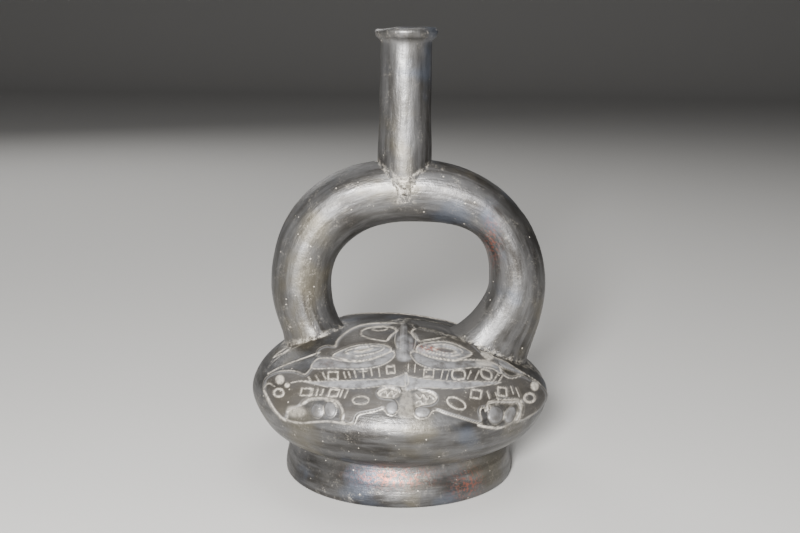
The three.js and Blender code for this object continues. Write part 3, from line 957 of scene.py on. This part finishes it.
def paintMasks(obj):
    points = meshPoints(obj)
    x, y, z = points.T
    shell = bodyGap(points)
    along, out, archGap = archPlace(points)
    spoutGap = np.hypot(x - spout["middle"], y) - spout["radius"]
    onSpout = (z > 149) & (np.abs(spoutGap) < np.abs(archGap)) | (z > 172)
    onArch = ~onSpout & (z > 55) & (np.abs(archGap) < np.abs(shell))
    onDome = ~onSpout & ~onArch & (z > body["carvedFrom"]) & (shell > -3)
    away = ease(0.8, 3.0, archGap) * onDome

    # dust in the cut lines and in the corners under raised parts
    a, b = drawnPlace(points, -1)
    front = (1 - ease(3, 9, y)) * away
    pale = maskPanel.sample(maskPanel.pale, a, b) * front
    hollow = maskPanel.sample(maskHollow, a, b) * front
    # painted highlight: the silvery sheen drawn on the front carving, carried to the surface
    paintedSheen = maskPanel.sample(maskPanel.paintedSheen, a, b) * front
    raised = maskPanel.sample(maskPanel.relief, a, b) * front
    a, b = drawnPlace(points, 1)
    rear = ease(8, 14, y) * away
    pale += backPanel.sample(backPanel.pale, a, b) * rear
    hollow += backPanel.sample(backHollow, a, b) * rear
    raised += backPanel.sample(backPanel.relief, a, b) * rear
    setMask(obj, "dust", np.maximum(pale, 0.8 * ease(0.10, 0.42, hollow)))
    setMask(obj, "worn", ease(0.08, 0.35, -hollow))
    setMask(obj, "paintedSheen", paintedSheen)
    setMask(obj, "ground", ease(0.3, 0.75, raised))

    # joins: where the legs meet the dome, and where the spout meets the arch
    legJoin = (1 - ease(0.8, 3.0, np.maximum(np.abs(shell), np.abs(archGap)))) * (z > 54) * (z < 84)
    spoutJoin = (1 - ease(0.4, 1.8, np.maximum(np.abs(spoutGap), np.abs(archGap)))) * (z > 146) * (z < 172)
    setMask(obj, "join", np.maximum(legJoin * 0.85, spoutJoin))
    inner = (z > 9) & (z < body["domeTop"]) & (shell < -3) | (archGap < -2.8) & (z > 66) & ~onSpout
    inner |= (spoutGap < -2.4) & (z > 149) & (z < spout["top"] - 3)
    setMask(obj, "inside", inner.astype(float))
    setMask(obj, "scuff", patches(points, "scuffs"))
    setMask(obj, "red", patches(points, "red"))

    # burnishing strokes: a place shortened around the body, along the arch or down the spout, so that
    # a pattern on it is drawn out that way; the arch and spout are set far off to differ from the body
    long = 0.14
    stroke = np.stack([x * long, y * long, z], 1)
    stroke = np.where(onArch[:, None], np.stack([out + 900, y, along * long], 1), stroke)
    stroke = np.where(onSpout[:, None], np.stack([x + 500, y, z * long], 1), stroke)
    layer = obj.data.attributes.new("stroke", "FLOAT_VECTOR", "POINT")
    layer.data.foreach_set("vector", (stroke * mm).astype(np.float32).ravel())


paintMasks(vessel)
print("masks painted")


def nodeGroup(name, inputs, outputs):
    group = bpy.data.node_groups.new(name, "ShaderNodeTree")
    for label, kind, value in inputs:
        socket = group.interface.new_socket(label, in_out="INPUT", socket_type=kind)
        if value is not None:
            socket.default_value = value
    for label, kind in outputs:
        group.interface.new_socket(label, in_out="OUTPUT", socket_type=kind)
    return group, group.nodes.new("NodeGroupInput"), group.nodes.new("NodeGroupOutput")


def addNode(tree, kind, inputs=(), **settings):
    node = tree.nodes.new(kind)
    for key, value in settings.items():
        setattr(node, key, value)
    for key, value in dict(inputs).items():
        if isinstance(value, bpy.types.NodeSocket):
            tree.links.new(value, node.inputs[key])
        else:
            node.inputs[key].default_value = value
    return node


def maths(tree, operation, a, b=0.0, clamp=False):
    return addNode(tree, "ShaderNodeMath", {0: a, 1: b}, operation=operation, use_clamp=clamp).outputs[0]


def ramp(tree, value, low, high, outLow=0.0, outHigh=1.0):
    # smooth step of a value between low and high
    node = addNode(tree, "ShaderNodeMapRange", {"Value": value, "From Min": low, "From Max": high,
                                                "To Min": outLow, "To Max": outHigh},
                   interpolation_type="SMOOTHSTEP")
    return node.outputs["Result"]


def mixColor(tree, factor, a, b):
    node = tree.nodes.new("ShaderNodeMix")
    node.data_type = "RGBA"
    for socket, value in ((node.inputs[0], factor), (node.inputs[6], a), (node.inputs[7], b)):
        if isinstance(value, bpy.types.NodeSocket):
            tree.links.new(value, socket)
        else:
            socket.default_value = value
    return node.outputs[2]


def noise(tree, place, scale, detail=4.0, rough=0.55, distortion=0.0):
    node = addNode(tree, "ShaderNodeTexNoise", {"Vector": place, "Scale": scale, "Detail": detail,
                                                "Roughness": rough, "Distortion": distortion})
    return node.outputs["Fac"]


def specksGroup():
    # small pale or red dots: cells of a Voronoi whose own random value passes a threshold
    group, given, out = nodeGroup(
        "mineralSpecks",
        [("Place", "NodeSocketVector", None), ("Scale", "NodeSocketFloat", 300.0),
         ("Size", "NodeSocketFloat", 0.2), ("Share", "NodeSocketFloat", 0.1)],
        [("Mask", "NodeSocketFloat")])
    cells = addNode(group, "ShaderNodeTexVoronoi", {"Vector": given.outputs["Place"],
                                                    "Scale": given.outputs["Scale"]})
    picked = addNode(group, "ShaderNodeSeparateColor", {0: cells.outputs["Color"]})
    chosen = maths(group, "LESS_THAN", picked.outputs[0], given.outputs["Share"])
    size = maths(group, "MULTIPLY", given.outputs["Size"], picked.outputs[1])
    dot = maths(group, "LESS_THAN", cells.outputs["Distance"], size)
    group.links.new(maths(group, "MULTIPLY", chosen, dot), out.inputs["Mask"])
    return group


specks = specksGroup()


def useSpecks(tree, place, scale, size, share):
    node = tree.nodes.new("ShaderNodeGroup")
    node.node_tree = specks
    tree.links.new(place, node.inputs["Place"])
    node.inputs["Scale"].default_value = scale
    node.inputs["Size"].default_value = size
    node.inputs["Share"].default_value = share
    return node.outputs["Mask"]


clay = {
    "deep": (0.034, 0.031, 0.028, 1),
    "grey": (0.085, 0.082, 0.078, 1),
    "bright": (0.36, 0.36, 0.37, 1),
    "warm": (0.13, 0.112, 0.075, 1),
    "blue": (0.10, 0.12, 0.16, 1),
    "band": (0.062, 0.054, 0.045, 1),
    "dust": (0.56, 0.51, 0.43, 1),
    "red": (0.36, 0.10, 0.06, 1),
    "inside": (0.030, 0.028, 0.026, 1),
    "ior": 1.5,
}


def blackwareMaterial():
    # smoked clay rubbed to a graphite sheen, with clouds from the fire, pale dust in its cuts, and a
    # painted highlight of silvery sheen on parts of the carving
    material = bpy.data.materials.new("burnished_blackware")
    material.use_nodes = True
    tree = material.node_tree
    tree.nodes.clear()
    place = addNode(tree, "ShaderNodeTexCoord").outputs["Object"]
    stroke = addNode(tree, "ShaderNodeAttribute", attribute_name="stroke").outputs["Vector"]

    def mask(name):
        return addNode(tree, "ShaderNodeAttribute", attribute_name=name).outputs["Fac"]

    dustMask, paintedSheenMask, ground, worn = mask("dust"), mask("paintedSheen"), mask("ground"), mask("worn")
    scuff, inside = mask("scuff"), mask("inside")

    # clouds from the fire, and strokes where the rubbing was harder
    cloud = ramp(tree, noise(tree, place, 26, 4, 0.55, 0.3), 0.36, 0.64)
    rub = ramp(tree, noise(tree, stroke, 190, 4, 0.6), 0.38, 0.66)
    color = mixColor(tree, cloud, clay["deep"], clay["grey"])
    color = mixColor(tree, maths(tree, "MULTIPLY", rub, 0.2), color, clay["bright"])
    tint = noise(tree, place, 31, 3, 0.5)
    color = mixColor(tree, ramp(tree, tint, 0.54, 0.70, 0, 0.5), color, clay["warm"])
    color = mixColor(tree, ramp(tree, tint, 0.32, 0.46, 0.5, 0), color, clay["blue"])
    color = mixColor(tree, maths(tree, "MULTIPLY", ground, 0.62), color, clay["band"])
    # painted highlight: the drawn sheen lightens the colour towards the bright silvery tone, unevenly
    uneven = ramp(tree, noise(tree, place, 210, 4, 0.6), 0.32, 0.62, 0.2, 0.85)
    color = mixColor(tree, maths(tree, "MULTIPLY", paintedSheenMask, uneven), color, clay["bright"])
    color = mixColor(tree, maths(tree, "MULTIPLY", worn, 0.4), color, clay["bright"])

    # a thin chalky film in patches, and grains of grit and red earth
    grain = noise(tree, place, 950, 4, 0.7)
    patch = ramp(tree, noise(tree, place, 150, 4, 0.65), 0.48, 0.72)
    film = maths(tree, "MULTIPLY", ramp(tree, grain, 0.45, 0.68), patch)
    film = maths(tree, "MULTIPLY", film, maths(tree, "ADD", 0.22, scuff), clamp=True)
    scratch = ramp(tree, noise(tree, stroke, 900, 3, 0.6), 0.62, 0.74)
    scraped = maths(tree, "MULTIPLY", scratch, maths(tree, "MULTIPLY", scuff, 0.8))
    film = maths(tree, "MAXIMUM", film, scraped)
    grit = maths(tree, "MULTIPLY", useSpecks(tree, place, 620, 0.3, 0.035), 0.6)
    film = maths(tree, "MAXIMUM", film, grit)
    redness = maths(tree, "MULTIPLY", mask("red"), ramp(tree, noise(tree, place, 700, 3, 0.6), 0.46, 0.60))
    color = mixColor(tree, redness, color, clay["red"])

    # dust in the cuts and raw clay at the joins, broken up so that it isn't even
    broken = ramp(tree, noise(tree, place, 520, 4, 0.7), 0.30, 0.58, 0.3, 1.0)
    dust = maths(tree, "MULTIPLY", dustMask, broken)
    raw = maths(tree, "MULTIPLY", mask("join"), ramp(tree, noise(tree, place, 380, 4, 0.75), 0.45, 0.58))
    dust = maths(tree, "MAXIMUM", dust, maths(tree, "MULTIPLY", raw, 0.5))
    dust = maths(tree, "MAXIMUM", dust, film, clamp=True)
    color = mixColor(tree, dust, color, clay["dust"])
    color = mixColor(tree, inside, color, clay["inside"])

    # burnish: graphite-like sheen, none on dust; rougher on the dark bands and inside
    dull = maths(tree, "MAXIMUM", dust, inside, clamp=True)
    sheen = maths(tree, "SUBTRACT", 0.78, maths(tree, "MULTIPLY", ground, 0.25))
    metal = maths(tree, "MULTIPLY", sheen, maths(tree, "SUBTRACT", 1.0, dull), clamp=True)
    rough = ramp(tree, noise(tree, stroke, 260, 3, 0.55), 0.3, 0.7, 0.36, 0.52)
    rough = maths(tree, "ADD", rough, maths(tree, "MULTIPLY", ground, 0.06))
    rough = maths(tree, "MAXIMUM", rough, maths(tree, "MULTIPLY", dull, 0.9), clamp=True)

    # strokes, fine grit and pits in the surface
    strokes = noise(tree, stroke, 520, 3, 0.55)
    height = maths(tree, "MULTIPLY", strokes, 0.8)
    height = maths(tree, "ADD", height, maths(tree, "MULTIPLY", noise(tree, place, 1400, 3, 0.6), 0.3))
    height = maths(tree, "ADD", height, maths(tree, "MULTIPLY", noise(tree, place, 240, 3, 0.5), 0.9))
    pits = useSpecks(tree, place, 360, 0.3, 0.08)
    height = maths(tree, "SUBTRACT", height, maths(tree, "MULTIPLY", pits, 0.5))
    bump = addNode(tree, "ShaderNodeBump", {"Strength": 0.5, "Distance": 0.0005, "Height": height})
    shader = addNode(tree, "ShaderNodeBsdfPrincipled", {"Base Color": color, "Roughness": rough,
                                                        "Metallic": metal,
                                                        "Normal": bump.outputs[0], "IOR": clay["ior"]})
    out = tree.nodes.new("ShaderNodeOutputMaterial")
    tree.links.new(shader.outputs[0], out.inputs[0])
    return material


vessel.data.materials.clear()
vessel.data.materials.append(blackwareMaterial())
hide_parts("vessel")
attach(vessel, "root")
print("clay finished")


studio = {
    "floorColor": (0.50, 0.49, 0.47, 1),
    "floorBack": 3.2,
    "bend": 1.8,
    "keyPlace": (-0.14, -0.92, 0.40),
    "keySize": 0.2,
    "keyPower": 38.0,
    "topPlace": (0.2, 0.1, 1.5),
    "topSize": 1.1,
    "topPower": 10.0,
    "backPlace": (-0.7, 1.2, 1.0),
    "backSize": 0.9,
    "backPower": 9.0,
    "worldColor": (0.07, 0.07, 0.072, 1),
}


def makeFloor():
    # a sweep: flat floor that bends up behind the bottle, a profile carried across
    bend, back = studio["bend"], studio["floorBack"]
    profile = [(-2.5, 0.0), (back, 0.0)]
    for angle in np.linspace(0, math.pi / 2, 20)[1:]:
        profile.append((back + bend * math.sin(angle), bend * (1 - math.cos(angle))))
    profile.append((back + bend, 5.0))
    y, z = np.array(profile).T
    x = np.array([-5.0, 5.0])
    grid = np.stack(np.broadcast_arrays(x[:, None], y[None, :], z[None, :]), 2)
    n = len(y)
    k = np.arange(n - 1)
    faces = np.stack([k, n + k, n + k + 1, k + 1], 1)
    mesh = bpy.data.meshes.new("floor")
    mesh.from_pydata(grid.reshape(-1, 3).tolist(), [], faces.tolist())
    mesh.shade_smooth()
    floor = bpy.data.objects.new("floor", mesh)
    bpy.context.scene.collection.objects.link(floor)
    material = bpy.data.materials.new("floor_paper")
    material.use_nodes = True
    shader = material.node_tree.nodes["Principled BSDF"]
    shader.inputs["Base Color"].default_value = studio["floorColor"]
    shader.inputs["Roughness"].default_value = 0.9
    mesh.materials.append(material)


def aim(obj, place, target):
    direction = Matrix.Translation(place).inverted() @ Matrix.Translation(target)
    obj.location = place
    obj.rotation_euler = direction.translation.to_track_quat("-Z", "Y").to_euler()


def addLight(name, place, size, power, target=(0, 0, 0.11)):
    light = bpy.data.lights.new(name, "AREA")
    light.size = size
    light.energy = power
    light.shape = "DISK"
    obj = bpy.data.objects.new(name, light)
    bpy.context.scene.collection.objects.link(obj)
    aim(obj, place, target)
    return obj


def makeCamera():
    camera = bpy.data.cameras.new("camera")
    camera.sensor_width = 36
    camera.lens = 52.14
    camera.clip_start = 0.01
    obj = bpy.data.objects.new("camera", camera)
    bpy.context.scene.collection.objects.link(obj)
    pitch, roll = math.radians(11.97), math.radians(0.72)
    turn = Matrix.Rotation(math.pi / 2 - pitch, 4, "X") @ Matrix.Rotation(roll, 4, "Z")
    obj.matrix_world = Matrix.Translation((-0.0006, -0.600, 0.2377)) @ turn
    bpy.context.scene.camera = obj


makeFloor()
addLight("key", studio["keyPlace"], studio["keySize"], studio["keyPower"])
addLight("top", studio["topPlace"], studio["topSize"], studio["topPower"])
addLight("back", studio["backPlace"], studio["backSize"], studio["backPower"])
world = bpy.data.worlds.new("studio")
world.use_nodes = True
world.node_tree.nodes["Background"].inputs[0].default_value = studio["worldColor"]
bpy.context.scene.world = world
makeCamera()
print("studio ready")
